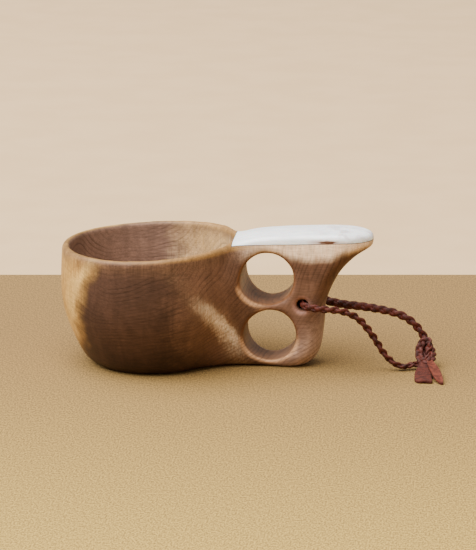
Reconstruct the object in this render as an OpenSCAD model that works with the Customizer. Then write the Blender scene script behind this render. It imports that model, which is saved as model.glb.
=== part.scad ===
// A carved wooden cup with a two-finger handle, an antler inlay on the handle's top
// and a braided leather lanyard through its small hole.
// X runs along the handle, Z is up, and the cup stands on Z = 0.

/* [Bowl] */
// Outer radius of the bowl at its widest
bowl_r = 41.6; // [40:0.2:43]
// Inner radius of the bowl at the rim
cavity_r = 37.5; // [35:0.5:37.5]
// Radius where the hollow's wall turns into its floor
cavity_corner_r = 18; // [12:1:22]
// Thickness of the wood under the hollow
floor_t = 7; // [5:0.5:10]
// How much the wood flows from the bowl into the handle, as a radius
flow_r = 40; // [34:1:46]

/* [Handle] */
// Half the handle's thickness at its middle
handle_half_t = 11.2; // [10.5:0.1:12]
// Half the width of the handle's top
top_half_w = 12.4; // [11.5:0.1:13]
// Radius of the finger holes
finger_r = 12; // [11:0.1:12.2]
// Height of the upper finger hole's centre
upper_finger_z = 42.2; // [41.8:0.1:42.6]
// Height of the lower finger hole's centre
lower_finger_z = 15.5; // [15:0.1:16]
// Rounding of the rim and of the handle's top edge
top_round = 2; // [1.5:0.1:2.4]

/* [Inlay] */
// Where the inlay begins, just behind the rim
inlay_start_x = 8; // [8:0.5:12]
// Thickness of the glue under the inlay
glue_t = 0.3; // [0.2:0.05:0.5]

/* [Lanyard] */
// Radius of the lanyard hole
lanyard_hole_r = 2.6; // [2.4:0.1:3]
// Radius of the hole's countersink at the surface
countersink_r = 4; // [3.5:0.1:4.5]
// Diameter of the braided cord
cord_d = 3.4; // [3:0.1:3.4]
// Thickness of the flat leather tails
tail_t = 1.4; // [1:0.1:2]

/* [Hidden] */

$fn = 96;
bowl_x = -30;
height = 60;
cavity_floor_r = cavity_r - cavity_corner_r;
upper_finger_x = 24;
lower_finger_x = 25.2;
lanyard_x = 40;
lanyard_z = 30.2;
countersink_depth = 1.6;
reach = 100;
eps = 0.01;

// Outer radius of the bowl, the handle's half thickness, its rear edge, the length of the rear
// edge's rounding and the radius of the flow from bowl to handle, each at a few heights.
// The shapes in between are smooth curves.
bowl_profile = [[0, 23.4], [0.8, 26.6], [2.4, 28.9], [5, 31.4], [14, bowl_r - 5.8],
    [27, bowl_r - 1.5], [40, bowl_r], [height, bowl_r - 0.6]];
thickness_profile = [[0, 5.6], [0.8, 7.8], [2.4, 9.2], [6, handle_half_t - 0.5],
    [14, handle_half_t], [34, handle_half_t], [52, top_half_w], [height, top_half_w]];
rear_profile = [[0, 38.5], [0.8, 41.4], [2.4, 44.2], [6, 47], [11, 48.5], [21, 49.7],
    [28, 50.2], [34, 52.3], [40, 55.5], [44.5, 59], [49.5, 64.4], [52.6, 68.9],
    [54.4, 71], [56.4, 71.6], [height, 71.6]];
rear_round_profile = [[0, 10], [14, 9], [34, 8.5], [46, 10], [54, 16], [height, 16]];
flow_profile = [[0, flow_r], [42, flow_r], [52, flow_r - 14], [height, flow_r - 36]];

// Heights of the section rings, closest where the form turns fastest
side_levels = [0, 0.8, 2.4, 5, 9, 14, 20, 26, 31, 35, 38.5, 42, 45, 47.5, 50, 52, 54, 55.6];
round_steps = 3;
crown_shares = [0.7, 0.35];
// Each ring's height, how far it is set in, and how wide it is kept
LEVELS = concat(
    [for (z = side_levels) [z, 0, 1]],
    [for (i = [0 : round_steps]) let (a = 90 * i / round_steps)
        [height - top_round * (1 - sin(a)), top_round * (1 - cos(a)), 1]],
    [for (share = crown_shares) [height, top_round, share]]);

circle_steps = 18;
flow_steps = 7;
side_steps = 5;
end_steps = 7;

// Smooth curve through a list of [position, value] pairs
function slope_at(p, i) =
    i == 0 ? (p[1][1] - p[0][1]) / (p[1][0] - p[0][0])
    : i == len(p) - 1 ? (p[i][1] - p[i - 1][1]) / (p[i][0] - p[i - 1][0])
    : (p[i + 1][1] - p[i - 1][1]) / (p[i + 1][0] - p[i - 1][0]);
function span_of(p, t, i = 0) = (i >= len(p) - 2 || t < p[i + 1][0]) ? i : span_of(p, t, i + 1);
function along(p, t) =
    let (i = span_of(p, t), step = p[i + 1][0] - p[i][0], s = (t - p[i][0]) / step)
    let (s2 = s * s, s3 = s * s * s)
    (2 * s3 - 3 * s2 + 1) * p[i][1] + (s3 - 2 * s2 + s) * step * slope_at(p, i)
    + (3 * s2 - 2 * s3) * p[i + 1][1] + (s3 - s2) * step * slope_at(p, i + 1);
function ease(t) = let (s = min(1, max(0, t))) s * s * (3 - 2 * s);

// The upper surface: its height along the middle of the cup, and its fall towards both sides
// of the handle. The underside is slightly arched between the foot and the heel.
top_profile = [[-72, 55.4], [-50, 55.5], [bowl_x, 56.3], [-8, 57.8], [8, 59.3], [18, 61.6],
    [30, 62.9], [42, 63.6], [56, 64], [66, 63.5], [72, 62.6]];
side_fall = 1;
side_fall_y = 12.5;
arch = 0.6;
foot_cut = 0.3;
function top_z(x, y) =
    along(top_profile, x) - side_fall * pow(y / side_fall_y, 2) * ease((x - 1) / 12);
function bottom_z(x) = arch * ease((x + 8) / 18) * ease((36 - x) / 16) - foot_cut;

// Half outline of one level section, from the bowl's far side to the rear end
function half_section(z, inset) =
    let (r = along(bowl_profile, z) - inset, t = along(thickness_profile, z) - inset)
    let (end_x = along(rear_profile, z) - inset, end_l = along(rear_round_profile, z) - inset)
    let (f = along(flow_profile, z) + inset, flow_x = bowl_x + sqrt(pow(r + f, 2) - pow(t + f, 2)))
    let (meet_a = atan2(t + f, flow_x - bowl_x), side_x = end_x - end_l)
    concat(
        [for (i = [0 : circle_steps]) let (a = 180 - (180 - meet_a) * i / circle_steps)
            [bowl_x + r * cos(a), i == 0 ? 0 : r * sin(a)]],
        [for (i = [1 : flow_steps]) let (a = 180 + meet_a + (90 - meet_a) * i / flow_steps)
            [flow_x + f * cos(a), t + f + f * sin(a)]],
        [for (i = [1 : side_steps]) [flow_x + (side_x - flow_x) * i / side_steps, t]],
        [for (i = [1 : end_steps]) let (a = 90 * i / end_steps)
            [side_x + end_l * sin(a), i == end_steps ? 0 : t * cos(a)]]);

half_n = circle_steps + flow_steps + side_steps + end_steps;
ring_n = 2 * half_n;

// The whole ring of one level, narrowed for the rings that close the top, and lifted so that
// it leans with the rim and the underside
function ring(level) =
    let (half = half_section(level[0], level[1]), share = level[0] / height)
    let (loop = concat(half, [for (i = [half_n - 1 : -1 : 1]) [half[i][0], -half[i][1]]]))
    [for (p = loop) let (y = p[1] * level[2])
        [p[0], y, bottom_z(p[0]) * (1 - share) + top_z(p[0], y) * share]];

module carved_form() {
    points = [for (level = LEVELS) each ring(level)];
    top = (len(LEVELS) - 1) * ring_n;
    sides = [for (k = [0 : len(LEVELS) - 2]) for (j = [0 : ring_n - 1])
        let (a = k * ring_n + j, b = k * ring_n + (j + 1) % ring_n)
        each [[a, b, b + ring_n], [a, b + ring_n, a + ring_n]]];
    caps = [for (base = [0, top]) for (j = [0 : half_n - 1])
        let (a = base + j, b = base + j + 1)
        let (c = base + ring_n - j - 1, d = base + (ring_n - j) % ring_n)
        each base == 0 ? [[c, d, a], [b, c, a]] : [[a, d, c], [a, c, b]]];
    faces = [for (f = concat(sides, caps))
        let (p = points[f[0]], q = points[f[1]], r = points[f[2]])
        if (norm(p - q) > eps && norm(q - r) > eps && norm(r - p) > eps) f];
    polyhedron(points = points, faces = faces, convexity = 10);
}

// The region above the inlay's seat, leaving room under it for a lift of the given height
seat_z = 57.6;
seat_rise = 2;
seat_rise_x = 58;
module above_seat(lift) {
    rotate([90, 0, 0])
        linear_extrude(reach, center = true)
            polygon([
                [inlay_start_x + lift, seat_z + lift],
                [seat_rise_x, seat_z + seat_rise + lift],
                [reach, seat_z + seat_rise + lift],
                [reach, reach],
                [inlay_start_x + lift, reach]]);
}

module hollow() {
    translate([bowl_x, 0, floor_t])
        rotate_extrude()
            union() {
                translate([0, cavity_corner_r])
                    square([cavity_r, reach]);
                square([cavity_floor_r, cavity_corner_r + eps]);
                translate([cavity_floor_r, cavity_corner_r])
                    intersection() {
                        circle(cavity_corner_r);
                        translate([0, -cavity_corner_r])
                            square(cavity_corner_r + eps);
                    }
            }
}

module finger_holes() {
    for (place = [[upper_finger_x, upper_finger_z], [lower_finger_x, lower_finger_z]])
        translate([place[0], 0, place[1]])
            rotate([90, 0, 0])
                cylinder(h = reach, r = finger_r, center = true);
}

module lanyard_hole() {
    translate([lanyard_x, 0, lanyard_z])
        for (side = [-90, 90])
            rotate([side, 0, 0]) {
                translate([0, 0, -eps])
                    cylinder(h = reach, r = lanyard_hole_r);
                translate([0, 0, handle_half_t - countersink_depth])
                    cylinder(h = countersink_depth * 2, r1 = lanyard_hole_r,
                        r2 = 2 * countersink_r - lanyard_hole_r);
            }
}

module below_foot() {
    translate([-reach, -reach, -reach])
        cube([2 * reach, 2 * reach, reach]);
}

module cup_body() {
    color([0.50, 0.35, 0.24])
        difference() {
            carved_form();
            below_foot();
            hollow();
            finger_holes();
            lanyard_hole();
            above_seat(0);
        }
}

module antler_inlay() {
    color([0.93, 0.93, 0.94])
        intersection() {
            carved_form();
            above_seat(glue_t);
        }
}

module glue_line() {
    color([0.30, 0.20, 0.14])
        difference() {
            intersection() {
                carved_form();
                above_seat(0);
            }
            above_seat(glue_t);
        }
}

// The lanyard's two legs, from the middle of their hole to the knot
front_route = [[40, 0, 30.2], [40, -4, 30.2], [40, -8, 30.2], [40.5, -10.6, 30.2],
    [42, -12.8, 30.1], [44.2, -14.3, 30], [47, -15, 29.9], [51, -15, 29.6], [55, -14.5, 29.3],
    [59, -14, 28.5], [63, -13, 26.8], [66.4, -12, 24.2], [69.3, -11.4, 20.8], [72, -10.8, 17],
    [74.4, -10, 13], [76.8, -9.4, 9], [79.6, -8.8, 5.6], [83, -8.4, 3],
    [86.6, -7.6, 2], [90.4, -6, 2.6]];
back_route = [[40, 0, 30.2], [40, 4, 30.2], [40, 8, 30.2], [40.5, 10.6, 30],
    [42, 12.8, 29.3], [44.2, 14.2, 28.2], [47, 14.6, 26.9], [51, 14.2, 25.8], [55, 13.4, 25.2],
    [59, 12.4, 24.9], [63.5, 11, 24.9], [68, 9.6, 24.8], [72.5, 8.4, 24.5], [77, 7.6, 23.9],
    [81.5, 7.2, 22.9], [85.6, 7, 21.3], [89.2, 7, 18.9], [92, 7.2, 15.9], [94.2, 7.2, 12.8],
    [95.6, 6.6, 10]];

cord_sides = 8;
function unit(v) = v / norm(v);
function heading(route, i) =
    unit(route[min(i + 1, len(route) - 1)] - route[max(i - 1, 0)]);

// Sweeps a round tube along a route, square to the route at every point
module cord(route) {
    rings = [for (i = [0 : len(route) - 1])
        let (ahead = heading(route, i), side = unit(cross(ahead, [0.2, 0.1, 1])))
        let (up = cross(side, ahead))
        each [for (k = [0 : cord_sides - 1]) let (a = 360 * k / cord_sides)
            route[i] + cord_d / 2 * (cos(a) * side + sin(a) * up)]];
    last = (len(route) - 1) * cord_sides;
    sides = [for (i = [0 : len(route) - 2]) for (k = [0 : cord_sides - 1])
        let (a = i * cord_sides + k, b = i * cord_sides + (k + 1) % cord_sides)
        each [[a, b + cord_sides, b], [a, a + cord_sides, b + cord_sides]]];
    caps = [for (k = [1 : cord_sides - 2])
        each [[0, k, k + 1], [last, last + k + 1, last + k]]];
    polyhedron(points = rings, faces = concat(sides, caps), convexity = 6);
}

module lanyard_front_leg() {
    color([0.45, 0.25, 0.20])
        cord(front_route);
}

module lanyard_back_leg() {
    color([0.45, 0.25, 0.20])
        cord(back_route);
}

// Places and radii of the lumps that make up the knot's outer shape
knot_lumps = [[95.8, 5, 6.8, 4.4], [96.2, -6.4, 4.6, 4.6], [94, -3, 4.4, 4]];
module lanyard_knot() {
    color([0.42, 0.22, 0.18])
        hull()
            for (lump = knot_lumps)
                translate([lump[0], lump[1], lump[2]])
                    sphere(r = lump[3], $fn = 24);
}

module tail(outline) {
    color([0.52, 0.30, 0.22])
        linear_extrude(tail_t)
            polygon(outline);
}

module tail_left() {
    tail([[94.6, -6], [96.9, -6], [98.4, -15], [98.6, -21], [97.6, -27], [94.4, -27.6],
        [91.8, -22]]);
}

module tail_right() {
    tail([[97.2, -6], [99.2, -6], [102.6, -15], [104.8, -28.4], [101.4, -26], [98.9, -21],
        [98.7, -15]]);
}

cup_body();
antler_inlay();
glue_line();
lanyard_front_leg();
lanyard_back_leg();
lanyard_knot();
tail_left();
tail_right();
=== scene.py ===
# %% [markdown]
# # A carved wooden cup, its antler thumb rest and its leather lanyard
#
# The cup is carved from one block of birch: a round bowl that flows into a thick handle with
# two finger holes. A plate of antler is let into the top of the handle, and a braided leather
# lace hangs in a small hole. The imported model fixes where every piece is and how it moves, so
# it is loaded first, and everything made here is in its frame, in metres.

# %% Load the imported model
import math

import bmesh
import bpy
from mathutils import Matrix, Vector, noise


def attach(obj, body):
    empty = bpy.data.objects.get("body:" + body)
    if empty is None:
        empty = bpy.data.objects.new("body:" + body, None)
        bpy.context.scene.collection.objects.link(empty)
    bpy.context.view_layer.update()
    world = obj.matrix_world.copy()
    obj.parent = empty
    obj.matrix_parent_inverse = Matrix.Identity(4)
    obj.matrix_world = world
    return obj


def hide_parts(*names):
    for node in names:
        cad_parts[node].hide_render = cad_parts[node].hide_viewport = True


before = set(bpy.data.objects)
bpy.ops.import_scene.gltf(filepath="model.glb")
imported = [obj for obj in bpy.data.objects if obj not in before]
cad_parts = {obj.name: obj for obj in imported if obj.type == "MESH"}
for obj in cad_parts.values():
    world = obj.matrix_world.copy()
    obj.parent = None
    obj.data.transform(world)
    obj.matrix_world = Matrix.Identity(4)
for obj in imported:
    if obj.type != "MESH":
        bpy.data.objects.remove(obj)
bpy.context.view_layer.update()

MM = 0.001

# %% [markdown]
# ## The camera
#
# A long lens from more than a metre away keeps the cup's outline nearly undistorted. The camera
# stands a little to the right of the cup and looks down at it by about fifteen degrees. It is
# turned towards a point in the cup instead of by typed angles, so its place can be changed and
# it still looks at the cup.

# %% Camera
VIEW_AZIMUTH = 6.0
VIEW_ELEVATION = 14.5
VIEW_DISTANCE = 1.2
LENS_MM = 171.8
aim = Vector((9.65, 0, 40.95)) * MM


def toward(azimuth, elevation):
    """Direction from the cup to a place at this azimuth and elevation, in degrees."""
    a, e = math.radians(azimuth), math.radians(elevation)
    return Vector((math.sin(a) * math.cos(e), -math.cos(a) * math.cos(e), math.sin(e)))


camera = bpy.data.objects.new("camera", bpy.data.cameras.new("camera"))
camera.data.lens = LENS_MM
camera.data.clip_start = 0.05
camera.location = aim + toward(VIEW_AZIMUTH, VIEW_ELEVATION) * VIEW_DISTANCE
camera.rotation_euler = (aim - camera.location).to_track_quat("-Z", "Y").to_euler()
bpy.context.collection.objects.link(camera)
bpy.context.scene.camera = camera
print("camera at", [round(x, 3) for x in camera.location])

# %% [markdown]
# ## The lanyard's two legs
#
# The lace is three strips of leather braided flat. It goes through the small hole in the
# handle, and both legs come round to a knot beside the cup. A round tube with a bump pattern
# would look like a rope drawn on a pipe, so each strip is a body of its own: a flat oval ring is
# extruded step by step along its own wandering line, and the three lines pass over and under
# each other as in a real braid.

# %% Helpers for meshes
def link_piece(name, bm, sharp_deg=40):
    """Turns a finished bmesh into an object, smooth but for its sharp edges."""
    bmesh.ops.recalc_face_normals(bm, faces=bm.faces)
    for face in bm.faces:
        face.smooth = True
    for edge in bm.edges:
        edge.smooth = edge.calc_face_angle(0) < math.radians(sharp_deg)
    mesh = bpy.data.meshes.new(name)
    bm.to_mesh(mesh)
    bm.free()
    piece = bpy.data.objects.new(name, mesh)
    bpy.context.collection.objects.link(piece)
    print(name, "has", len(mesh.polygons), "faces")
    return piece


def new_verts(result):
    return [g for g in result["geom"] if isinstance(g, bmesh.types.BMVert)]


def start_ring(bm, sides):
    """A round ring of corners, and its edges."""
    ring = bmesh.ops.create_circle(bm, segments=sides, radius=1)["verts"]
    return ring, list({e for v in ring for e in v.link_edges})


def pull_ring(bm, edges):
    """Extrudes a ring of edges in place, and gives the new ring's corners and edges."""
    made = bmesh.ops.extrude_edge_only(bm, edges=edges)
    ring = new_verts(made)
    corners = set(ring)
    return ring, [
        g for g in made["geom"]
        if isinstance(g, bmesh.types.BMEdge) and corners.issuperset(g.verts)]


def step_at(line, i):
    """From the point before to the point after, which is the line's direction at a point."""
    return line[min(i + 1, len(line) - 1)] - line[max(i - 1, 0)]


def smooth_line(points, per_span=12):
    """A finer line through the points, in metres, that turns smoothly at each of them."""
    pts = [Vector(p) * MM for p in points]
    slopes = [step_at(pts, i) / 2 for i in range(len(pts))]
    line = []
    for a, b, m, n in zip(pts, pts[1:], slopes, slopes[1:]):
        for k in range(per_span):
            s = k / per_span
            line.append(
                a * (2 * s**3 - 3 * s**2 + 1)
                + m * (s**3 - 2 * s**2 + s)
                + b * (3 * s**2 - 2 * s**3)
                + n * (s**3 - s**2)
            )
    return line + [pts[-1]]


def evenly(line, step):
    """The same line again, with its points one step apart."""
    far, total = [0.0], 0.0
    for a, b in zip(line, line[1:]):
        total += (b - a).length
        far.append(total)
    count = max(2, round(total / step))
    out, i = [], 0
    for k in range(count + 1):
        at = total * k / count
        while i < len(line) - 2 and far[i + 1] < at:
            i += 1
        out.append(line[i].lerp(line[i + 1], (at - far[i]) / (far[i + 1] - far[i])))
    return out, total


# %% Routes of the two legs, in millimetres
front_route = [(40, 0, 30.2), (40, -4, 30.2), (40, -8, 30.2), (40.5, -10.6, 30.2),
    (42, -12.8, 30.1), (44.2, -14.3, 30), (47, -15, 29.9), (51, -15, 29.6), (55, -14.5, 29.3),
    (59, -14, 28.5), (63, -13, 26.8), (66.4, -12, 24.2), (69.3, -11.4, 20.8), (72, -10.8, 17),
    (74.4, -10, 13), (76.8, -9.4, 9), (79.6, -8.8, 5.6), (83, -8.4, 3), (86.6, -7.6, 2),
    (90.4, -6, 2.6)]
back_route = [(40, 0, 30.2), (40, 4, 30.2), (40, 8, 30.2), (40.5, 10.6, 30),
    (42, 12.8, 29.3), (44.2, 14.2, 28.2), (47, 14.6, 26.9), (51, 14.2, 25.8), (55, 13.4, 25.2),
    (59, 12.4, 24.9), (63.5, 11, 24.9), (68, 9.6, 24.8), (72.5, 8.4, 24.5), (77, 7.6, 23.9),
    (81.5, 7.2, 22.9), (85.6, 7, 21.3), (89.2, 7, 18.9), (92, 7.2, 15.9), (94.2, 7.2, 12.8),
    (95.6, 6.6, 10)]
BRAID_STEP = 0.35 * MM
BRAID_PITCH = 13.5 * MM
print("route points:", len(front_route), "front,", len(back_route), "back")

# %% Braid three strips along a route
def framed(line, start_side, roll, roll_end):
    """Each point of a line with the directions to its side and up from it, without twist but
    for a steady roll from one angle to another."""
    frames, side = [], Vector(start_side)
    for i, p in enumerate(line):
        ahead = step_at(line, i).normalized()
        side = (side - ahead * side.dot(ahead)).normalized()
        turn = roll + (roll_end - roll) * i / (len(line) - 1)
        turned = Matrix.Rotation(math.radians(turn), 3, ahead) @ side
        frames.append((p, turned, ahead.cross(turned)))
    return frames


def sweep(bm, places, half_w, half_t, sides=10):
    """Extrudes an oval ring from place to place, and closes both of its ends."""
    ring, edges = start_ring(bm, sides)
    shrink = Matrix.Diagonal((half_w, half_t, 1, 1))
    bmesh.ops.transform(bm, matrix=places[0] @ shrink, verts=ring)
    bmesh.ops.holes_fill(bm, edges=edges, sides=0)
    for here, there in zip(places, places[1:]):
        ring, edges = pull_ring(bm, edges)
        bmesh.ops.transform(bm, matrix=there @ here.inverted(), verts=ring)
    bmesh.ops.holes_fill(bm, edges=edges, sides=0)


def braid(bm, line, start_side, roll, roll_end, swing=1.0, depth=0.62, half_w=1.12,
          half_t=0.66, lean=0.5, pitch=BRAID_PITCH):
    """Three strips that pass over and under each other along a line, sizes in millimetres."""
    frames = framed(line, start_side, roll, roll_end)
    step = (line[1] - line[0]).length
    for strand in range(3):
        turns = [math.tau * (i * step / pitch + strand / 3) for i in range(len(frames))]
        centres = [
            p + side * swing * MM * math.sin(a) + up * depth * MM * math.sin(2 * a)
            for a, (p, side, up) in zip(turns, frames)]
        places = []
        for i, (a, (_, side, up)) in enumerate(zip(turns, frames)):
            run = step_at(centres, i).normalized()
            flat = side * math.cos(lean * math.cos(a)) + up * math.sin(-lean * math.sin(a))
            across = (flat - run * flat.dot(run)).normalized()
            place = Matrix((across, run.cross(across), run)).transposed().to_4x4()
            places.append(Matrix.Translation(centres[i]) @ place)
        sweep(bm, places, half_w * MM, half_t * MM)


legs = {}
for name, route, roll in (("front", front_route, (20, 75)), ("back", back_route, (-10, 60))):
    line, length = evenly(smooth_line(route), BRAID_STEP)
    bm = bmesh.new()
    braid(bm, line, (0, 0, 1), *roll)
    leg = link_piece("lanyard_" + name + "_braid", bm, sharp_deg=80)
    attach(leg, "lanyard")
    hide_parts("lanyard_" + name + "_leg")
    legs[name] = (leg, line)
    print(name, "leg is", round(length / MM, 1), "mm long")

# %% [markdown]
# ## The carved form
#
# The whole cup is one block of wood, so its outside is made as one body. A carver works from
# outlines: the plan at each height is a round bowl, a hollow curve that flows into the
# handle's flat side, and a rounded rear end. The same is done here. A ring of points is laid
# on the lowest outline and extruded from height to height onto the next one, which keeps the
# long curves fair. A sculpted blob would need far more handwork for the same result.

# %% Profiles of the cup, in millimetres
BOWL_X = -30.0
BOWL_R = 41.6
SIDE_T = 11.2
TOP_T = 12.4
HEIGHT = 60.0
TOP_ROUND = 2.0
bowl_profile = [(0, 23.4), (0.8, 26.6), (2.4, 28.9), (5, 31.4), (14, BOWL_R - 5.8),
    (27, BOWL_R - 1.5), (40, BOWL_R), (HEIGHT, BOWL_R - 0.6)]
side_profile = [(0, 5.6), (0.8, 7.8), (2.4, 9.2), (6, SIDE_T - 0.5), (14, SIDE_T),
    (34, SIDE_T), (52, TOP_T), (HEIGHT, TOP_T)]
rear_profile = [(0, 38.5), (0.8, 41.4), (2.4, 44.2), (6, 47), (11, 48.5), (21, 49.7),
    (28, 50.2), (34, 52.3), (40, 55.5), (44.5, 59), (49.5, 64.4), (52.6, 68.9), (54.4, 71),
    (56.4, 71.6), (HEIGHT, 71.6)]
rear_round_profile = [(0, 10), (14, 9), (34, 8.5), (46, 10), (54, 16), (HEIGHT, 16)]
flow_profile = [(0, 40), (42, 40), (52, 26), (HEIGHT, 4)]
top_profile = [(-72, 55.4), (-50, 55.5), (-30, 56.3), (-8, 57.8), (8, 59.3), (18, 61.6),
    (30, 62.9), (42, 63.6), (56, 64), (66, 63.5), (72, 62.6)]
print("bowl is", 2 * BOWL_R, "mm across, handle", 2 * SIDE_T, "mm thick")


def along(profile, t):
    """A smooth curve through pairs of position and value."""
    n = len(profile)
    i = 0
    while i < n - 2 and t >= profile[i + 1][0]:
        i += 1

    def slope(k):
        a, b = profile[max(k - 1, 0)], profile[min(k + 1, n - 1)]
        return (b[1] - a[1]) / (b[0] - a[0])

    step = profile[i + 1][0] - profile[i][0]
    s = (t - profile[i][0]) / step
    return (
        (2 * s**3 - 3 * s**2 + 1) * profile[i][1]
        + (s**3 - 2 * s**2 + s) * step * slope(i)
        + (3 * s**2 - 2 * s**3) * profile[i + 1][1]
        + (s**3 - s**2) * step * slope(i + 1)
    )


def ease(t):
    s = min(1.0, max(0.0, t))
    return s * s * (3 - 2 * s)


def top_z(x, y):
    """Height of the cup's top, which is rounded from front to back along the handle."""
    return along(top_profile, x) - (y / 12.5) ** 2 * ease((x - 1) / 12)


def bottom_z(x):
    """Height of the underside, raised a little between the bowl's foot and the handle's."""
    return 0.6 * ease((x + 8) / 18) * ease((36 - x) / 16) - 0.3


# %% The outline at one height
BOWL_STEPS, FLOW_STEPS, SIDE_STEPS, END_STEPS = 56, 22, 16, 18


def half_outline(z, inset):
    """Half the plan at a height, from the bowl's far side to the handle's rear end."""
    r = along(bowl_profile, z) - inset
    t = along(side_profile, z) - inset
    end_x = along(rear_profile, z) - inset
    end_l = along(rear_round_profile, z) - inset
    flow = along(flow_profile, z) + inset
    flow_x = BOWL_X + math.sqrt((r + flow) ** 2 - (t + flow) ** 2)
    meet = math.atan2(t + flow, flow_x - BOWL_X)
    side_x = end_x - end_l
    half = []
    for i in range(BOWL_STEPS + 1):
        a = math.pi - (math.pi - meet) * i / BOWL_STEPS
        half.append((BOWL_X + r * math.cos(a), 0 if i == 0 else r * math.sin(a)))
    for i in range(1, FLOW_STEPS + 1):
        a = math.pi + meet + (math.pi / 2 - meet) * i / FLOW_STEPS
        half.append((flow_x + flow * math.cos(a), t + flow + flow * math.sin(a)))
    for i in range(1, SIDE_STEPS + 1):
        half.append((flow_x + (side_x - flow_x) * i / SIDE_STEPS, t))
    for i in range(1, END_STEPS + 1):
        a = math.pi / 2 * i / END_STEPS
        half.append((side_x + end_l * math.sin(a), 0 if i == END_STEPS else t * math.cos(a)))
    return half


def outline(z, inset, width):
    """The whole ring at a height, narrowed for the rings that close the top and bottom."""
    half = half_outline(z, inset)
    share = z / HEIGHT
    ring = half + [(x, -y) for x, y in reversed(half[1:-1])]
    return [
        Vector((x, y * width, bottom_z(x) * (1 - share) + top_z(x, y * width) * share)) * MM
        for x, y in ring
    ]


# Each level is a height, how far its outline is drawn in, and its share of the full width
levels = [(0, 0, w) for w in (0, 0.4, 0.75, 1)]
levels += [(z, 0, 1) for z in (0.4, 0.8, 1.6, 2.4, 3.6, 5, 6.5, 8, 9.8, 11.8)]
levels += [(14 + 1.6 * k, 0, 1) for k in range(27)]
ROUND_STEPS = 7
for step in range(ROUND_STEPS + 1):
    a = math.pi / 2 * step / ROUND_STEPS
    levels.append((HEIGHT - TOP_ROUND * (1 - math.sin(a)), TOP_ROUND * (1 - math.cos(a)), 1))
levels += [(HEIGHT, TOP_ROUND, w) for w in (0.85, 0.7, 0.5, 0.3, 0.15, 0)]
print("levels:", len(levels))

# %% Extrude the outline from height to height
bm = bmesh.new()
station = bm.verts.layers.int.new("station")
rings = [outline(*level) for level in levels]
ring, edges = start_ring(bm, len(rings[0]))
for i, v in enumerate(ring):
    v[station] = i
    v.co = rings[0][i]
for places in rings[1:]:
    ring, edges = pull_ring(bm, edges)
    for v in ring:
        v.co = places[v[station]]
bmesh.ops.remove_doubles(bm, verts=bm.verts, dist=0.02 * MM)
bmesh.ops.dissolve_degenerate(bm, edges=bm.edges, dist=0.005 * MM)
bmesh.ops.bisect_plane(
    bm, geom=bm.verts[:] + bm.edges[:] + bm.faces[:], dist=1e-7,
    plane_co=(0, 0, 0), plane_no=(0, 0, 1), clear_inner=True)
bmesh.ops.holes_fill(bm, edges=bm.edges, sides=0)
print("open edges:", sum(not e.is_manifold for e in bm.edges))
cup_form = link_piece("cup_form", bm)

# %% [markdown]
# ## Hollow and holes
#
# The hollow is turned: half its profile is spun once round the bowl's axis. The finger holes
# are plain round bores, and the lanyard hole has a small countersink on each side. They are
# cut with booleans, because the cutters are exact and easy to place. A boolean leaves knife
# edges, so the whole form is then laid out again in even small faces and relaxed, most of all
# at the lips that fingers and mouth touch, which is what sanding does to the real cup.

# %% Tools that cut
CAVITY_R = 37.5
CORNER_R = 18.0
FLOOR_T = 7.0
LIP_R = 1.5
RIM_Z = 56.3
FINGER_R = 12.0
finger_holes = [(24.0, 42.2), (25.2, 15.5)]
LANYARD_X, LANYARD_Z = 40.0, 30.2
LANYARD_R = 2.6
SINK_R = 4.0
SINK_DEPTH = 1.6
print("hollow is", RIM_Z - FLOOR_T, "mm deep and", 2 * CAVITY_R, "mm across")


def settle(piece):
    """Fixes what a piece's modifiers make as its mesh."""
    depsgraph = bpy.context.evaluated_depsgraph_get()
    mesh = bpy.data.meshes.new_from_object(piece.evaluated_get(depsgraph))
    piece.modifiers.clear()
    piece.data = mesh
    return piece


def carve(piece, tool, how="DIFFERENCE"):
    """Cuts a piece with a tool, which is then taken away."""
    cut = piece.modifiers.new("cut", "BOOLEAN")
    cut.operation, cut.solver, cut.object = how, "EXACT", tool
    settle(piece)
    bpy.data.objects.remove(tool)
    return piece


def bore(name, x, z, radius, wide=None, y=0.0, depth=60.0, sides=96):
    """A round cutter across the handle, or a cone that opens outwards from y."""
    bm = bmesh.new()
    wide = radius if wide is None else wide
    turn = Matrix.Rotation(math.radians(90 if y <= 0 else -90), 4, "X")
    bmesh.ops.create_cone(
        bm, cap_ends=True, segments=sides, radius1=radius * MM, radius2=wide * MM,
        depth=depth * MM, matrix=Matrix.Translation(Vector((x, y, z)) * MM) @ turn)
    return link_piece(name, bm)


# %% Cut the hollow
CORNER_STEPS, LIP_STEPS = 16, 8
RISE_FROM = 40.0
bm = bmesh.new()
profile = [(0, FLOOR_T), (CAVITY_R - CORNER_R, FLOOR_T)]
for step in range(1, CORNER_STEPS + 1):
    a = math.pi / 2 * step / CORNER_STEPS
    profile.append((CAVITY_R - CORNER_R + CORNER_R * math.sin(a),
        FLOOR_T + CORNER_R * (1 - math.cos(a))))
profile += [(CAVITY_R, z) for z in (32, 40, 44, 48, 52)]
for step in range(LIP_STEPS + 1):
    a = math.pi / 2 * step / LIP_STEPS
    profile.append((CAVITY_R + LIP_R * (1 - math.cos(a)), RIM_Z - LIP_R * (1 - math.sin(a))))
profile += [(CAVITY_R + LIP_R, 80), (0, 80)]
corners = [bm.verts.new(Vector((BOWL_X + r, 0, z)) * MM) for r, z in profile]
for a, b in zip(corners, corners[1:]):
    bm.edges.new((a, b))
bmesh.ops.spin(
    bm, geom=bm.verts[:] + bm.edges[:], cent=(BOWL_X * MM, 0, 0), axis=(0, 0, 1),
    dvec=(0, 0, 0), angle=math.tau, steps=160, use_merge=True, use_duplicate=False)
bmesh.ops.remove_doubles(bm, verts=bm.verts, dist=0.01 * MM)
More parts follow.
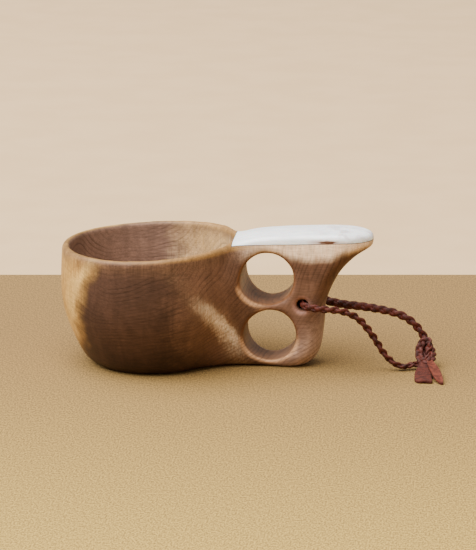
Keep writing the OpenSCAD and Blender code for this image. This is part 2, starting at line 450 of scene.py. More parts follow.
# The lip follows the cup's top, which rises towards the handle
for v in bm.verts:
    if v.co.z > RISE_FROM * MM:
        rise = top_z(v.co.x / MM, v.co.y / MM) - RIM_Z
        v.co.z += rise * ease((v.co.z / MM - RISE_FROM) / (RIM_Z - LIP_R - RISE_FROM)) * MM
carve(cup_form, link_piece("hollow", bm))

# %% Cut the holes
for x, z in finger_holes:
    carve(cup_form, bore("finger_hole", x, z, FINGER_R))
carve(cup_form, bore("lanyard_hole", LANYARD_X, LANYARD_Z, LANYARD_R, sides=48))
for side in (-1, 1):
    middle = side * SIDE_T
    carve(cup_form, bore("countersink", LANYARD_X, LANYARD_Z, LANYARD_R,
        2 * SINK_R - LANYARD_R, middle, 2 * SINK_DEPTH, 48))
print("carved form has", len(cup_form.data.polygons), "faces")

# %% Even out the faces and round the lips
VOXEL = 0.8 * MM
exact_form = bpy.data.objects.new("exact_form", cup_form.data.copy())
bpy.context.collection.objects.link(exact_form)
remesh = cup_form.modifiers.new("even", "REMESH")
remesh.mode, remesh.voxel_size, remesh.adaptivity = "VOXEL", VOXEL, 0
hug = cup_form.modifiers.new("hug", "SHRINKWRAP")
hug.target, hug.wrap_method = exact_form, "NEAREST_SURFACEPOINT"
settle(cup_form)
bpy.data.objects.remove(exact_form)
bm = bmesh.new()
bm.from_mesh(cup_form.data)


def relax(verts, times):
    """Moves each point halfway to the middle of its neighbours, again and again."""
    for _ in range(times):
        bmesh.ops.smooth_vert(
            bm, verts=verts, factor=0.5, use_axis_x=True, use_axis_y=True, use_axis_z=True)


def off_axis(v, x, z):
    """How far a point is from the line across the handle at x and z, in millimetres."""
    return math.hypot(v.co.x / MM - x, v.co.z / MM - z)


FOOT_Z, FLAT_Z, RIM_FROM = 0.2, 0.12, 51.0
LIP_FROM_Y, LIP_WIDTH, LANYARD_LIP_R = 7.5, 2.6, 6.0
relax([v for v in bm.verts if v.co.z > FOOT_Z * MM], 3)
finger_lips = [
    v for v in bm.verts
    if abs(v.co.y) > LIP_FROM_Y * MM
    and any(abs(off_axis(v, x, z) - FINGER_R) < LIP_WIDTH for x, z in finger_holes)]
relax(finger_lips, 20)
rim = [v for v in bm.verts if v.co.z > RIM_FROM * MM]
relax(rim, 3)
relax([v for v in bm.verts if off_axis(v, LANYARD_X, LANYARD_Z) < LANYARD_LIP_R], 3)
for v in bm.verts:
    if v.co.z < FLAT_Z * MM:
        v.co.z = 0
print("lips:", len(finger_lips), "rim:", len(rim), "all:", len(bm.verts))
bm.to_mesh(cup_form.data)
bm.free()

# %% [markdown]
# ## Antler plate and glue line
#
# The carver planes a seat into the top of the handle, glues the antler plate on it, and then
# sands plate and wood down together, so that no step can be felt. Cutting the plate, the
# glue and the wood out of the same finished form gives exactly that flush joint.

# %% Cut the seat
SEAT_X = 8.0
SEAT_Z = 57.6
SEAT_RISE = 2.0
SEAT_RISE_X = 58.0
GLUE_T = 0.3
# The cutter reaches past the cup to the right, upwards and to both sides
PAST_X, PAST_Z, PAST_Y = 100, 90, 50


def above_seat(lift):
    """Everything above the seat, leaving room under it for the glue's thickness."""
    bm = bmesh.new()
    line = [(SEAT_X + lift, SEAT_Z + lift), (SEAT_RISE_X, SEAT_Z + SEAT_RISE + lift),
        (PAST_X, SEAT_Z + SEAT_RISE + lift), (PAST_X, PAST_Z), (SEAT_X + lift, PAST_Z)]
    face = bm.faces.new([bm.verts.new(Vector((x, -PAST_Y, z)) * MM) for x, z in line])
    wide = bmesh.ops.extrude_face_region(bm, geom=[face])
    bmesh.ops.translate(bm, verts=new_verts(wide), vec=(0, 2 * PAST_Y * MM, 0))
    return link_piece("above_seat", bm)


def cut_out(name, *cuts):
    """A copy of the finished form, cut down to one piece."""
    piece = bpy.data.objects.new(name, cup_form.data.copy())
    bpy.context.collection.objects.link(piece)
    for lift, how in cuts:
        carve(piece, above_seat(lift), how)
    bm = bmesh.new()
    bm.from_mesh(piece.data)
    bmesh.ops.remove_doubles(bm, verts=bm.verts, dist=0.003 * MM)
    bmesh.ops.dissolve_degenerate(bm, edges=bm.edges, dist=0.002 * MM)
    bpy.data.objects.remove(piece)
    return link_piece(name, bm)


wood = cut_out("carved_cup", (0, "DIFFERENCE"))
antler = cut_out("antler_plate", (GLUE_T, "INTERSECT"))
glue = cut_out("glue_bed", (0, "INTERSECT"), (GLUE_T, "DIFFERENCE"))
bpy.data.objects.remove(cup_form)
for piece, node, finish in ((wood, "cup_body", "birch_wood"),
        (antler, "antler_inlay", "antler"), (glue, "glue_line", "glue")):
    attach(piece, "cup")
    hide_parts(node)

# %% [markdown]
# ## The knot
#
# Both legs end in an overhand knot. The lace goes round once as an oval ring, over its own
# start and down through its middle, and the other leg comes up through the ring from below.
# A lump with a braid pattern would do from afar, but the same braided strips laid along the
# knot's own two paths give the real gaps and crossings.

# %% Lay the knot
knot_middle = Vector((96.0, -1.2, 6.8))
knot_up = Vector((0, 0.837, 0.548))
knot_out = Vector((0, -0.548, 0.837))
ring_path = [(-0.4, 8.3, -1.6), (1.2, 6.4, -1.2), (2.7, 3.2, -0.9), (3.1, -1.0, 0),
    (2.6, -4.4, 0.6), (0.4, -6.1, 1.0), (-2.1, -4.7, 0.6), (-3.0, -1.0, 0.2), (-2.8, 2.8, 0.8),
    (-1.2, 5.4, 1.9), (1.1, 5.3, 2.1), (1.5, 2.6, 1.3), (0.7, -0.6, 0.2), (0.3, -3.4, -1.2),
    (0.6, -5.8, -2.0)]
through_path = [(-5.6, -6.3, -0.9), (-3.6, -5.6, -1.5), (-1.6, -3.8, -2.2), (-0.5, 0, -1.9),
    (0.1, 3.2, -1.6), (0.4, 5.4, -1.0)]


def in_knot(path):
    """Points of the knot's own plane, which leans back, as points of the frame."""
    return [knot_middle + Vector((u, 0, 0)) + knot_up * v + knot_out * w for u, v, w in path]


bm = bmesh.new()
for path, roll in ((ring_path, (0, 160)), (through_path, (40, 90))):
    line, _ = evenly(smooth_line(in_knot(path)), BRAID_STEP)
    braid(bm, line, knot_out, *roll, swing=0.85, half_w=1.08, half_t=0.68, pitch=11 * MM)
knot = link_piece("lanyard_knot_braid", bm, sharp_deg=80)
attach(knot, "lanyard")
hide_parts("lanyard_knot")

# %% [markdown]
# ## The two tails
#
# Past the knot the lace isn't braided: its two flat ends are left whole. Each is a grid whose
# long rows follow the cut edges, thickened to leather and then given a soft bevel. They rise
# a little to the knot and curl, because stiff leather never lies quite flat.

# %% Cut and curl the tails
TAIL_T = 1.3
SWELL_T, SWELL_LENGTH = 0.7, 5.0
RIPPLE, RIPPLE_FROM, RIPPLE_GROWS = 0.25, 8.0, 6.0
BEVEL = 0.28
# Each row is a place along y, the left and right edge there, and the height of both edges
tail_left_cut = [(-5.6, 94.2, 96.6, 2.6, 2.8), (-8, 93.0, 97.4, 1.8, 2.4),
    (-11, 92.1, 98.4, 0.8, 1.4), (-16, 91.6, 99.2, 0.2, 0.7), (-21, 91.7, 99.4, 0.1, 0.4),
    (-25.8, 92.2, 99.9, 0, 0.1), (-27.4, 93.8, 99.8, 0, 0)]
tail_right_cut = [(-5.6, 96.6, 98.9, 3.4, 3.2), (-9, 97.0, 100.5, 3.2, 3.2),
    (-14, 98.0, 102.4, 2.6, 2.6), (-20, 99.6, 103.9, 1.9, 1.7), (-25.5, 101.4, 104.7, 1.0, 0.6),
    (-28.6, 103.7, 104.9, 0, 0)]


def tail(name, cut, bow):
    """A flat end of the lace, bowed up or down across its width."""
    bm = bmesh.new()
    bmesh.ops.create_grid(bm, x_segments=8, y_segments=28, size=1)
    edges = [[(-row[0], row[k]) for row in cut] for k in (1, 2, 3, 4)]
    start, end = -cut[0][0], -cut[-1][0]
    for v in bm.verts:
        across, far = (v.co.x + 1) / 2, start + (end - start) * (1 - v.co.y) / 2
        left, right, low, high = (along(edge, far) for edge in edges)
        lift = low + (high - low) * across + bow * math.sin(math.pi * across)
        ripple = noise.noise(Vector((across * 2, far / 5, end))) * RIPPLE
        ripple *= ease((far - RIPPLE_FROM) / RIPPLE_GROWS)
        v.co = Vector((left + (right - left) * across, -far, max(0, lift + ripple))) * MM
    upper = new_verts(bmesh.ops.extrude_face_region(bm, geom=bm.faces[:]))
    for v in upper:
        near_knot = 1 - ease((-v.co.y / MM - start) / SWELL_LENGTH)
        v.co.z += (TAIL_T + SWELL_T * near_knot) * MM
    bmesh.ops.recalc_face_normals(bm, faces=bm.faces)
    rims = [e for e in bm.edges if e.calc_face_angle(0) > math.radians(50)]
    bmesh.ops.bevel(bm, geom=rims, offset=BEVEL * MM, offset_type="OFFSET", segments=2,
        profile=0.5, affect="EDGES", material=-1)
    piece = link_piece(name + "_flap", bm, sharp_deg=60)
    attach(piece, "lanyard")
    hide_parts(name)
    return piece


tail_left = tail("tail_left", tail_left_cut, bow=0.35)
tail_right = tail("tail_right", tail_right_cut, bow=-0.3)

for name, side in (("front", -1), ("back", 1)):
    leg, line = legs[name]

# %% [markdown]
# ## Helpers for finishes
#
# Every finish is built from nodes that read the piece's own place, so a pattern runs through
# the block as growth rings run through wood and shows rightly on every side. These helpers
# keep each finish short: they add one node each, and take either numbers or other nodes.

# %% Finish helpers
class Finish:
    """One material, built step by step."""

    def __init__(self, name):
        self.material = bpy.data.materials.new(name)
        self.material.use_nodes = True
        self.nodes = self.material.node_tree.nodes
        self.links = self.material.node_tree.links
        self.shader = self.nodes["Principled BSDF"]
        self.place = self.node("TexCoord").outputs["Object"]
        self.mm = self.node("VectorMath", operation="SCALE")
        self.links.new(self.place, self.mm.inputs[0])
        self.mm.inputs["Scale"].default_value = 1000
        self.mm = self.mm.outputs[0]

    def node(self, kind, **settings):
        made = self.nodes.new("ShaderNode" + kind)
        for key, value in settings.items():
            setattr(made, key, value)
        return made

    def put(self, socket, value):
        """Links a node's output to a socket, or sets the socket to a plain value."""
        if isinstance(value, bpy.types.NodeSocket):
            self.links.new(value, socket)
        elif isinstance(value, tuple) and len(value) == 3 and socket.type == "RGBA":
            socket.default_value = (*value, 1)
        else:
            socket.default_value = value

    def surface(self, setting, value):
        """Gives one of the shader's own settings a node or a plain value."""
        self.put(self.shader.inputs[setting], value)

    def calc(self, how, *values):
        made = self.node("Math", operation=how)
        for socket, value in zip(made.inputs, values):
            self.put(socket, value)
        return made.outputs[0]

    def total(self, *values):
        """Sum of value times weight pairs, or of plain values."""
        sum_so_far = None
        for value in values:
            if isinstance(value, tuple):
                value = self.calc("MULTIPLY", *value)
            sum_so_far = value if sum_so_far is None else self.calc("ADD", sum_so_far, value)
        return sum_so_far

    def times(self, first, *others):
        """The product of two or more values."""
        for value in others:
            first = self.calc("MULTIPLY", first, value)
        return first

    def squared(self, value):
        return self.calc("POWER", value, 2.0)

    def length(self, across, up):
        """How long a step is that goes so far across and so far up."""
        return self.calc("SQRT", self.total(self.squared(across), self.squared(up)))

    def parts(self, vector):
        made = self.node("SeparateXYZ")
        self.put(made.inputs[0], vector)
        return made.outputs[:3]

    def join(self, x, y, z):
        made = self.node("CombineXYZ")
        for socket, value in zip(made.inputs, (x, y, z)):
            self.put(socket, value)
        return made.outputs[0]

    def cloud(self, vector, size, detail=2.0, rough=0.5, swirl=0.0, colour=False):
        """Noise whose blotches are about this many millimetres wide."""
        made = self.node("TexNoise")
        self.put(made.inputs["Vector"], vector)
        for key, value in (("Scale", 1 / size), ("Detail", detail), ("Roughness", rough),
                ("Distortion", swirl)):
            made.inputs[key].default_value = value
        return made.outputs["Color" if colour else "Fac"]

    def stretch(self, vector, scale, turn=(0, 0, 0)):
        """Scales and turns a place, so that a pattern on it runs along one direction."""
        made = self.node("Mapping")
        self.put(made.inputs["Vector"], vector)
        made.inputs["Scale"].default_value = scale
        made.inputs["Rotation"].default_value = [math.radians(t) for t in turn]
        return made.outputs[0]

    def fade(self, value, low, high, start=0.0, end=1.0):
        """Goes smoothly from start to end as the value goes from low to high."""
        made = self.node("MapRange", interpolation_type="SMOOTHSTEP")
        for socket, number in zip(made.inputs, (value, low, high, start, end)):
            self.put(socket, number)
        return made.outputs[0]

    def band(self, value, low, full_from, full_to, high):
        """One between the two middle numbers, and fading to nothing at the outer two."""
        return self.times(
            self.fade(value, low, full_from), self.fade(value, full_to, high, 1.0, 0.0))

    def mix(self, share, first, second, how="MIX"):
        made = self.node("Mix", data_type="RGBA", blend_type=how)
        for socket, value in ((made.inputs[0], share), (made.inputs[6], first),
                (made.inputs[7], second)):
            self.put(socket, value)
        return made.outputs[2]

    def paint(self, colour, mask, share, over):
        """Lays a second colour over the first where the mask is, as strongly as the share."""
        return self.mix(self.times(mask, share), colour, over)

    def bumps(self, height, depth_mm, strength):
        made = self.node("Bump")
        made.inputs["Strength"].default_value = strength
        made.inputs["Distance"].default_value = depth_mm * MM
        self.put(made.inputs["Height"], height)
        return made.outputs[0]

    def give(self, piece):
        piece.data.materials.clear()
        piece.data.materials.append(self.material)
        print(piece.name, "is finished in", self.material.name, "with", len(self.nodes), "nodes")


def hexed(red, green, blue):
    """A colour as a painter reads it, 0 to 255, turned into the light values nodes need."""
    return tuple(
        (c / 255 / 12.92) if c <= 10 else ((c / 255 + 0.055) / 1.055) ** 2.4
        for c in (red, green, blue)
    )


# %% [markdown]
# ## Birch wood
#
# The cup is from a curly birch block. Its growth rings lie round a line from front to back,
# just above the bowl's rim, so on the bowl's front they sag like hung cords and sweep up to
# the handle. Heartwood is brown, and the younger sapwood on the left flank and at the back is
# honey coloured. A pale band runs along the top, and a pale band of curl crosses the waist,
# partly the curl's own tone and partly a painted highlight. The colour also holds painted
# highlights on the left flank's sapwood and on the holes' lower lips, and painted shade towards
# the bowl's foot. A picture of wood would stretch on these curves, so all of it is worked out
# from a point's place in the block.

# %% Birch: tones
# Painted light among these: both foot tones are painted shade, the sapwood's band and the holes'
# lower lips get painted highlights, and the waist and core tones are partly painted highlight.
tones = {part: hexed(*shade) for part, shade in {
    "heart_dark": (60, 40, 31), "heart_light": (74, 50, 38), "heart_high": (74, 52, 43),
    "heart_right": (112, 80, 62), "wedge": (92, 64, 52), "lanyard_ring": (170, 122, 104),
    "by_holes": (88, 60, 44), "inner_wall": (142, 111, 94), "inner_streak": (244, 214, 172),
    "sap_light": (200, 158, 88), "sap_dark": (166, 122, 62), "painted_sap_highlight": (222, 184, 110),
    "sap_foot_shade": (168, 116, 68), "rim_light": (118, 86, 64), "rim_dark": (90, 64, 46),
    "lip_left": (100, 70, 38), "lip_right": (142, 104, 58), "top_light": (250, 222, 190),
    "top_dark": (228, 188, 152), "rear_corner": (200, 164, 142),
    "waist_light": (206, 168, 126), "waist_dark": (150, 110, 76),
    "core_light": (250, 228, 198), "core_dark": (218, 184, 150), "bore": (126, 82, 50),
    "painted_lip_tone": (214, 164, 120), "foot": (44, 26, 15), "growth_line": (42, 26, 19),
    "pore": (58, 34, 22)}.items()}
print("birch tones:", len(tones))

# %% Birch: growth rings
PITH_X, PITH_Z = -39.0, 64.0
RING_SQUASH, RING_LENGTHWISE = 0.82, 0.05
YEAR = 1.6
WARP = 9.0
birch = Finish("oiled_birch")
warp = birch.node("VectorMath", operation="MULTIPLY_ADD")
birch.put(warp.inputs[0], birch.cloud(birch.mm, 24, 0.6, 0.5, colour=True))
warp.inputs[1].default_value = (WARP, WARP, WARP)
birch.put(warp.inputs[2], birch.mm)
x, y, z = birch.parts(warp.outputs[0])
# The cloud is 0.5 at its middle, so the warped place is half of WARP further on each axis
from_pith_x = birch.times(birch.calc("ADD", x, -PITH_X - WARP / 2), RING_SQUASH)
from_pith_z = birch.calc("ADD", z, -PITH_Z - WARP / 2)
ring_distance = birch.calc("SQRT", birch.total(
    birch.squared(from_pith_x), birch.squared(from_pith_z),
    (birch.squared(birch.calc("ADD", y, -WARP / 2)), RING_LENGTHWISE)))
year = birch.total(birch.times(ring_distance, 1 / YEAR), (birch.cloud(birch.mm, 13, 1), 0.9))
late = birch.band(birch.calc("FRACT", year), 0.45, 0.93, 0.95, 1.0)
years_vary = birch.cloud(birch.join(birch.times(year, 3.0), 0.0, 0.0), 4, 3, 0.7)
patchy = birch.fade(birch.cloud(birch.mm, 14, 2), 0.38, 0.62, 0.4, 1.0)
ring_lines = birch.times(late, patchy, birch.fade(years_vary, 0.35, 0.65, 0.15, 1.0))
print("a growth ring is", YEAR, "mm wide")


# %% Birch: fibres and curl
def drawn_out(scale, turn, size, *cloud_settings):
    """A cloud drawn out in one direction, which leans by the turn in degrees."""
    return birch.cloud(birch.stretch(birch.mm, scale, turn), size, *cloud_settings)


fine_fibres = drawn_out((0.09, 1.2, 1.2), (0, 28, 0), 0.55, 3, 0.65)
long_fibres = drawn_out((0.12, 0.7, 0.7), (0, 28, 8), 1.6, 3, 0.6)
slant_fibres = drawn_out((1.1, 0.9, 0.1), (0, 50, 0), 0.7, 3, 0.65)
cross_fibres = drawn_out((1.2, 0.9, 0.1), (0, -30, 0), 0.8, 3, 0.65)
curl = drawn_out((1.0, 0.5, 0.3), (0, 35, 0), 7, 2, 0.5, 1.5)
pores = birch.fade(drawn_out((0.25, 1, 1), (0, 20, 0), 0.5, 1), 0.66, 0.78)
print("birch has", len(birch.nodes), "nodes so far")

# %% Birch: inside and outside of the bowl
# From here on, px, py and pz are a point's place in millimetres: to the right, back and up
px, py, pz = birch.parts(birch.mm)
soft_edge = birch.total((birch.cloud(birch.mm, 9, 3, 0.6), 9.0), (long_fibres, 5.0), -7.0)
calm_edge = birch.total((birch.cloud(birch.mm, 8, 1.5), 9.0), -4.5)
from_axis = birch.length(birch.calc("ADD", px, -BOWL_X), py)
below_wall = birch.calc("MAXIMUM", birch.calc("SUBTRACT", FLOOR_T + CORNER_R, pz), 0.0)
wall_r = birch.calc("ADD", CAVITY_R - CORNER_R, birch.calc("SQRT", birch.calc("MAXIMUM", 0.0,
    birch.calc("SUBTRACT", CORNER_R**2, birch.squared(below_wall)))))
inside = birch.fade(birch.calc("SUBTRACT", from_axis, wall_r), 0.3, 1.3, 1.0, 0.0)
outside = birch.calc("SUBTRACT", 1.0, inside)
print("the wall is read at up to", CAVITY_R, "mm from the bowl's axis")

# %% Birch: sapwood, pale top and the waist's curl, with painted highlights
BELLY_Z, WAIST_Z = 28.0, 26.0
above_belly = birch.calc("MAXIMUM", birch.calc("ADD", pz, -BELLY_Z), 0.0)
into_sap = birch.total((px, -1.0), (birch.squared(above_belly), 0.017), (calm_edge, 0.8),
    (soft_edge, 0.3), -60.4)
left_side = birch.times(outside, birch.fade(into_sap, -6.0, 4.5))
# Painted highlight: a paler band of sapwood where the left flank turns towards the lamp, with
# the flank's far edge left darker.
painted_sap_highlight = birch.band(into_sap, -1.0, 3.0, 3.0, 9.0)
to_skin = birch.total(pz, (py, -0.05), (calm_edge, 0.5), (birch.fade(px, 4.0, 14.0), 0.9),
    (birch.band(px, 14.0, 24.0, 28.0, 35.0), -2.5), (birch.fade(px, 52.0, 62.0), -3.5), -53.6)
top_skin = birch.fade(
    birch.times(to_skin, birch.fade(px, -6.0, 16.0, 0.45, 1.0)), -2.4, 2.4)
back_right = birch.times(birch.fade(py, 2.0, 12.0),
    birch.fade(birch.total((px, 0.75), (py, 0.8), (pz, 0.15), soft_edge, -21.0), -7.0, 7.0))
rear_corner = birch.fade(birch.total((px, 0.8), (pz, -0.7), soft_edge, -22.0), -6.0, 9.0)
# The waist's pale band is partly the curl's own tone and partly a painted highlight where the
# hollow between bowl and handle faces the light.
waist = birch.total((px, 0.86), (pz, 0.51), (soft_edge, 0.5),
    (birch.squared(birch.calc("ADD", pz, -WAIST_Z)), 0.0073), -15.3)
waist_curl_and_highlight = birch.times(birch.fade(birch.calc("ABSOLUTE", waist), 0.5, 7.0, 1.0, 0.0),
    birch.fade(pz, 26.0, 44.0, 1.0, 0.15))
core_curl_and_highlight = birch.times(
    birch.band(waist, -5.0, 0.8, 0.8, 4.0), birch.band(pz, 3.0, 20.0, 26.0, 41.0))
print("birch has", len(birch.nodes), "nodes so far")


# %% Birch: round the holes
def off_hole(x, z):
    """How far a point is from the middle of a hole across the handle."""
    return birch.length(birch.calc("ADD", px, -x), birch.calc("ADD", pz, -z))


to_holes = birch.calc("MINIMUM", *[off_hole(x, z) for x, z in finger_holes])
in_bores = birch.fade(to_holes, FINGER_R + 0.2, FINGER_R + 1.6, 1.0, 0.0)
upper_halves = birch.calc("MAXIMUM",
    birch.calc("MINIMUM", birch.fade(pz, 12.0, 17.0), birch.fade(pz, 27.0, 28.5, 1.0, 0.0)),
    birch.fade(pz, 37.0, 42.0))
lower_lips = birch.times(birch.calc("SUBTRACT", 1.0, upper_halves),
    birch.band(to_holes, FINGER_R - 0.1, FINGER_R + 0.4, FINGER_R + 0.8, FINGER_R + 2.6))
# Painted highlight: the holes' lower lips, which face up towards the lamp, are painted pale,
# most of all on the lower hole and towards the left.
painted_lip_highlight = birch.times(lower_lips, birch.calc("MAXIMUM",
    birch.fade(pz, 14.0, 30.0, 0.75, 0.0), birch.fade(px, 16.0, 26.0, 0.9, 0.0)))
lanyard_ring = birch.band(off_hole(LANYARD_X, LANYARD_Z), 2.2, 3.2, 3.4, 5.4)
# Painted shade: the bowl, left of the handle, is painted darker towards its foot, where the
# overhead light leaves it in shade.
painted_shade_by_foot = birch.times(birch.fade(pz, 3.0, 20.0, 1.0, 0.0), birch.fade(px, -8.0, 6.0, 1.0, 0.0))
wedge = birch.times(birch.fade(px, 30.0, 40.0), birch.fade(pz, 33.0, 46.0))
print("birch has", len(birch.nodes), "nodes so far")

# %% Birch: heartwood and the bowl's inside
heart = birch.mix(birch.fade(birch.cloud(birch.mm, 24, 2), 0.4, 0.62),
    tones["heart_dark"], tones["heart_light"])
heart = birch.mix(birch.fade(birch.total(pz, (px, -0.15)), 18.0, 40.0, 0.0, 0.5), heart,
    tones["heart_high"])
heart = birch.mix(birch.fade(birch.total(px, (soft_edge, 1.5)), -22.0, -4.0), heart,
    tones["heart_right"])
heart = birch.paint(heart, wedge, 0.5, tones["wedge"])
heart = birch.paint(heart, lanyard_ring, 0.7, tones["lanyard_ring"])
heart = birch.paint(heart, birch.band(px, 4.0, 11.0, 16.0, 28.0), 0.7, tones["by_holes"])
heart = birch.paint(heart, inside, 0.85, tones["inner_wall"])
inner_streaks = birch.times(inside, birch.fade(py, -4.0, 18.0, 0.25, 1.0),
    birch.fade(birch.total(px, (soft_edge, 2.4)), -32.0, -2.0),
    birch.fade(slant_fibres, 0.38, 0.58, 0.35, 0.95))
heart = birch.mix(inner_streaks, heart, tones["inner_streak"])
print("birch has", len(birch.nodes), "nodes so far")

# %% Birch: sapwood and the pale top
sap = birch.mix(birch.fade(slant_fibres, 0.3, 0.7), tones["sap_light"], tones["sap_dark"])
# The sapwood's paler band is a painted highlight.
sap = birch.paint(sap, painted_sap_highlight, 0.6, tones["painted_sap_highlight"])
# Painted shade: the sapwood is painted darker towards the foot.
sap = birch.mix(birch.fade(pz, 6.0, 30.0, 0.6, 0.0), sap, tones["sap_foot_shade"])
lip = birch.mix(birch.fade(px, -66.0, -40.0), tones["lip_left"], tones["lip_right"])
pale_bowl = birch.mix(birch.fade(cross_fibres, 0.3, 0.7), tones["rim_light"],
    tones["rim_dark"])
pale_bowl = birch.mix(birch.fade(birch.total(pz, (px, -0.02)), 55.0, 56.6), pale_bowl, lip)
pale_handle = birch.mix(birch.fade(cross_fibres, 0.3, 0.75), tones["top_light"],
    tones["top_dark"])
pale = birch.mix(birch.fade(px, 8.0, 30.0), pale_bowl, pale_handle)
print("birch has", len(birch.nodes), "nodes so far")

# %% Birch: all its tones together
waist_fibres = birch.fade(slant_fibres, 0.35, 0.65)
waist_tone = birch.mix(waist_fibres, tones["waist_light"], tones["waist_dark"])
core_tone = birch.mix(waist_fibres, tones["core_light"], tones["core_dark"])
colour = birch.paint(heart, rear_corner, 0.75, tones["rear_corner"])
# The waist's band and core are partly curl and partly painted highlight.
colour = birch.paint(colour, waist_curl_and_highlight, 0.4, waist_tone)
colour = birch.paint(colour, core_curl_and_highlight, 0.92, core_tone)
colour = birch.paint(colour, back_right, 0.7, sap)
colour = birch.mix(left_side, colour, sap)
colour = birch.paint(colour, top_skin, 0.97, pale)
colour = birch.paint(colour, in_bores, 0.8, tones["bore"])
# Painted highlight on the holes' lower lips.
colour = birch.mix(painted_lip_highlight, colour, tones["painted_lip_tone"])
# Painted shade darkens the bowl towards its foot.
colour = birch.paint(colour, painted_shade_by_foot, 0.5, tones["foot"])
ring_share = birch.times(ring_lines,
    birch.total(0.6, (left_side, -0.4), (top_skin, -0.42), (core_curl_and_highlight, -0.3)))
colour = birch.mix(ring_share, colour, tones["growth_line"])
for pattern, darkest, lightest in (
        (fine_fibres, 0.8, 1.16), (long_fibres, 0.9, 1.08), (curl, 0.88, 1.12)):
    shade = birch.fade(pattern, 0.3, 0.7, darkest, lightest)
    colour = birch.mix(1.0, colour, birch.join(shade, shade, shade), "MULTIPLY")
birch.surface("Base Color", birch.paint(colour, pores, 0.4, tones["pore"]))
birch.surface("Roughness", birch.fade(fine_fibres, 0.3, 0.7, 0.42, 0.56))
grooves = birch.total(fine_fibres, (ring_lines, -0.6), (pores, -0.8))
birch.surface("Normal", birch.bumps(grooves, depth_mm=0.03, strength=0.6))
birch.surface("Specular IOR Level", 0.22)
birch.give(wood)

# %% [markdown]
# ## Antler
#
# Polished antler is nearly white and satin, with a cloudy depth and faint grey pores where
# the spongy core comes near the surface. One small crack with a brown edge runs along the
# front. A little light scatters below the surface, which keeps it from looking like plastic.

# %% Antler finish
CRACK_X, CRACK_Z, CRACK_HALF_LENGTH, CRACK_HALF_WIDTH = 51.4, 60.2, 4.8, 0.8
IVORY_LIGHT, IVORY_DARK = (0.96, 0.96, 0.96), (0.82, 0.82, 0.825)
IVORY_STREAK, IVORY_SMUDGE = (0.6, 0.59, 0.61), (0.52, 0.45, 0.44)
bone = Finish("polished_antler")
ax, ay, az = bone.parts(bone.mm)
cloudy = bone.cloud(bone.stretch(bone.mm, (0.35, 1, 1)), 6, 4, 0.6)
streaks = bone.cloud(bone.stretch(bone.mm, (0.12, 1, 1), (0, 0, 4)), 1.2, 3, 0.6)
smudge = bone.times(
    bone.fade(bone.cloud(bone.mm, 5, 3, 0.6), 0.45, 0.66), bone.fade(ax, 40.0, 62.0))
ivory = bone.mix(bone.fade(cloudy, 0.35, 0.65), IVORY_LIGHT, IVORY_DARK)
ivory = bone.paint(ivory, bone.fade(streaks, 0.48, 0.7), 0.5, IVORY_STREAK)
ivory = bone.paint(ivory, smudge, 0.7, IVORY_SMUDGE)
wander = bone.total((bone.cloud(bone.mm, 3.5, 2, 0.5), 1.2), -0.6)
crack_far = bone.length(
    bone.times(bone.calc("ADD", ax, -CRACK_X), 1 / CRACK_HALF_LENGTH),
    bone.times(bone.total(az, wander, -CRACK_Z), 1 / CRACK_HALF_WIDTH))
front_only = bone.fade(ay, -9.0, -8.0, 1.0, 0.0)
crack = bone.times(bone.fade(crack_far, 0.55, 1.1, 1.0, 0.0), front_only)
stain = bone.times(bone.fade(crack_far, 0.8, 2.4, 0.6, 0.0), front_only)
ivory = bone.mix(stain, ivory, hexed(170, 130, 110))
ivory = bone.mix(crack, ivory, hexed(88, 52, 38))
bone.surface("Base Color", ivory)
bone.surface("Roughness", bone.fade(cloudy, 0.3, 0.7, 0.24, 0.36))
bone_dents = bone.total((streaks, 0.4), (crack, -3.0))
bone.surface("Normal", bone.bumps(bone_dents, depth_mm=0.05, strength=0.6))
bone.surface("Subsurface Weight", 0.12)
bone.surface("Subsurface Scale", 0.002)
bone.give(antler)

# %% Glue finish
resin = Finish("dark_glue")
glue_tone = resin.fade(resin.cloud(resin.mm, 3, 3, 0.6), 0.35, 0.65)
resin.surface("Base Color", resin.mix(glue_tone, hexed(66, 42, 30), hexed(104, 72, 52)))
resin.surface("Roughness", resin.fade(glue_tone, 0.0, 1.0, 0.45, 0.65))
resin.give(glue)

# %% [markdown]
# ## Leather
#
# The lace is vegetable-tanned leather, waxed to a reddish brown. The braided part is slightly
# shiny where hands have rubbed it. The flat ends are duller, and the right one is paler too.
# The grain is a small cell pattern, as creased skin has, with painted shade in its creases and
# broader tones over it.

# %% Leather finishes
CELLS_PER_MM = 2.6
DARKER, LIGHTER = 2, 30


def leather(name, dark, light, rough):
    """Leather between a dark and a light tone, the light parts as rough as asked."""
    hide = Finish(name)
    tone = hide.fade(hide.cloud(hide.mm, 2.2, 3, 0.6), 0.35, 0.65)
    cells = hide.node("TexVoronoi", feature="DISTANCE_TO_EDGE")
    hide.put(cells.inputs["Vector"], hide.mm)
    cells.inputs["Scale"].default_value = CELLS_PER_MM
    creases = hide.fade(cells.outputs["Distance"], 0.0, 0.12, 1.0, 0.0)
    scuffs = hide.fade(hide.cloud(hide.stretch(hide.mm, (1, 0.3, 1)), 0.9, 4, 0.7), 0.55, 0.75)
    skin = hide.mix(tone, hexed(*dark), hexed(*light))
    # Painted shade: the grain's crease lines are painted darker.
    skin = hide.paint(skin, creases, 0.35, hexed(*[c // DARKER for c in dark]))
    skin = hide.paint(skin, scuffs, 0.3, hexed(*[c + LIGHTER for c in light]))
    hide.surface("Base Color", skin)
    hide.surface("Roughness", hide.fade(tone, 0.0, 1.0, rough + 0.1, rough))
    folds = hide.total((creases, -1.0), (scuffs, 0.5))
    hide.surface("Normal", hide.bumps(folds, depth_mm=0.06, strength=0.7))
    hide.surface("Specular IOR Level", 0.3)
    return hide


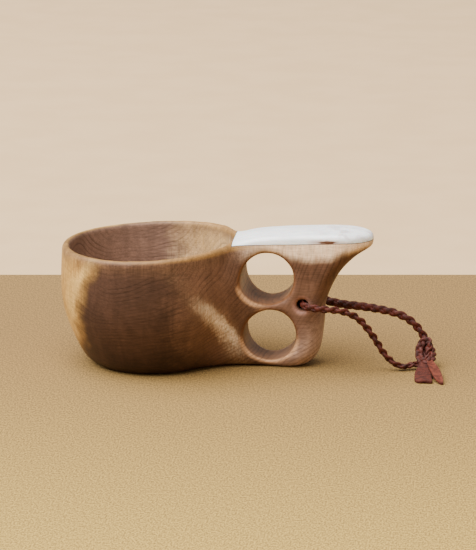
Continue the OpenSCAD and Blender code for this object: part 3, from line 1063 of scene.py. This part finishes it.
lace = leather("waxed_lace", dark=(56, 20, 13), light=(92, 36, 24), rough=0.5)
for piece in (legs["front"][0], legs["back"][0], knot):
    lace.give(piece)
leather("flat_leather", dark=(57, 18, 9), light=(86, 32, 17), rough=0.7).give(tail_left)
# The right end gets paler tones than the left.
leather("paler_flat_leather", dark=(76, 29, 16), light=(112, 50, 31), rough=0.75).give(tail_right)

# %% [markdown]
# ## Floor and light
#
# A pale sheet ends in a straight far edge, level in the camera's view, and lies on a wide
# cream table. One wide lamp hangs above and to the left, and the room itself fills the
# shadows.

# %% Floor
SHEET_HALF = 2.0
SHEET_BACK = 0.158
SHEET_DROP = 0.0004
TABLE_HALF = 12.0


def flat_floor(name, half, back, drop):
    """A square floor whose far edge is level in the camera's view."""
    bm = bmesh.new()
    bmesh.ops.create_grid(bm, x_segments=1, y_segments=1, size=half)
    bmesh.ops.translate(bm, verts=bm.verts, vec=(0, back - half, -drop))
    bmesh.ops.rotate(bm, verts=bm.verts, cent=(0, 0, 0),
        matrix=Matrix.Rotation(math.radians(VIEW_AZIMUTH), 3, "Z"))
    piece = link_piece(name, bm)
    return piece


sheet = flat_floor("paper_sheet", SHEET_HALF, SHEET_BACK, 0)
table = flat_floor("table", TABLE_HALF, TABLE_HALF, SHEET_DROP)

# %% Finishes of table and sheet
chalk = Finish("cream_table")
chalk.surface("Base Color", chalk.mix(
    chalk.fade(chalk.cloud(chalk.mm, 40, 2), 0.3, 0.7), hexed(198, 167, 127),
    hexed(202, 171, 131)))
chalk.surface("Roughness", 1.0)
chalk.surface("Specular IOR Level", 0.0)
chalk.give(table)
paper = Finish("pale_paper")
far_back = paper.parts(paper.mm)[1]
flecks = paper.fade(paper.cloud(paper.stretch(paper.mm, (1, 0.5, 1)), 0.7, 1, 0.6), 0.25, 0.75)
# Painted shade: the sheet is painted darker from the front towards its back edge behind the cup,
# over the paper's own flecked tone.
paper.surface("Base Color", paper.mix(
    paper.fade(far_back, -420.0, 60.0),
    paper.mix(flecks, hexed(134, 106, 44), hexed(200, 166, 76)),
    paper.mix(flecks, hexed(92, 69, 33), hexed(143, 110, 56))))
paper.surface("Roughness", 0.9)
paper.surface("Normal",
    paper.bumps(paper.cloud(paper.mm, 0.8, 3), depth_mm=0.06, strength=0.35))
paper.give(sheet)

# %% Lights
ROOM_TONE, ROOM_STRENGTH = (236, 226, 212), 0.7
room = bpy.data.worlds.new("room")
room.use_nodes = True
background = room.node_tree.nodes["Background"]
background.inputs["Color"].default_value = (*hexed(*ROOM_TONE), 1)
background.inputs["Strength"].default_value = ROOM_STRENGTH
bpy.context.scene.world = room


def lamp(name, azimuth, elevation, distance, size, power):
    """A square soft lamp that looks at the cup."""
    light = bpy.data.objects.new(name, bpy.data.lights.new(name, "AREA"))
    light.data.size, light.data.energy = size, power
    light.location = toward(azimuth, elevation) * distance
    light.rotation_euler = (-light.location).to_track_quat("-Z", "Y").to_euler()
    bpy.context.collection.objects.link(light)
    print(name, "lamp at", [round(v, 2) for v in light.location])


lamp("overhead", azimuth=-62, elevation=64, distance=3.0, size=4.0, power=440)
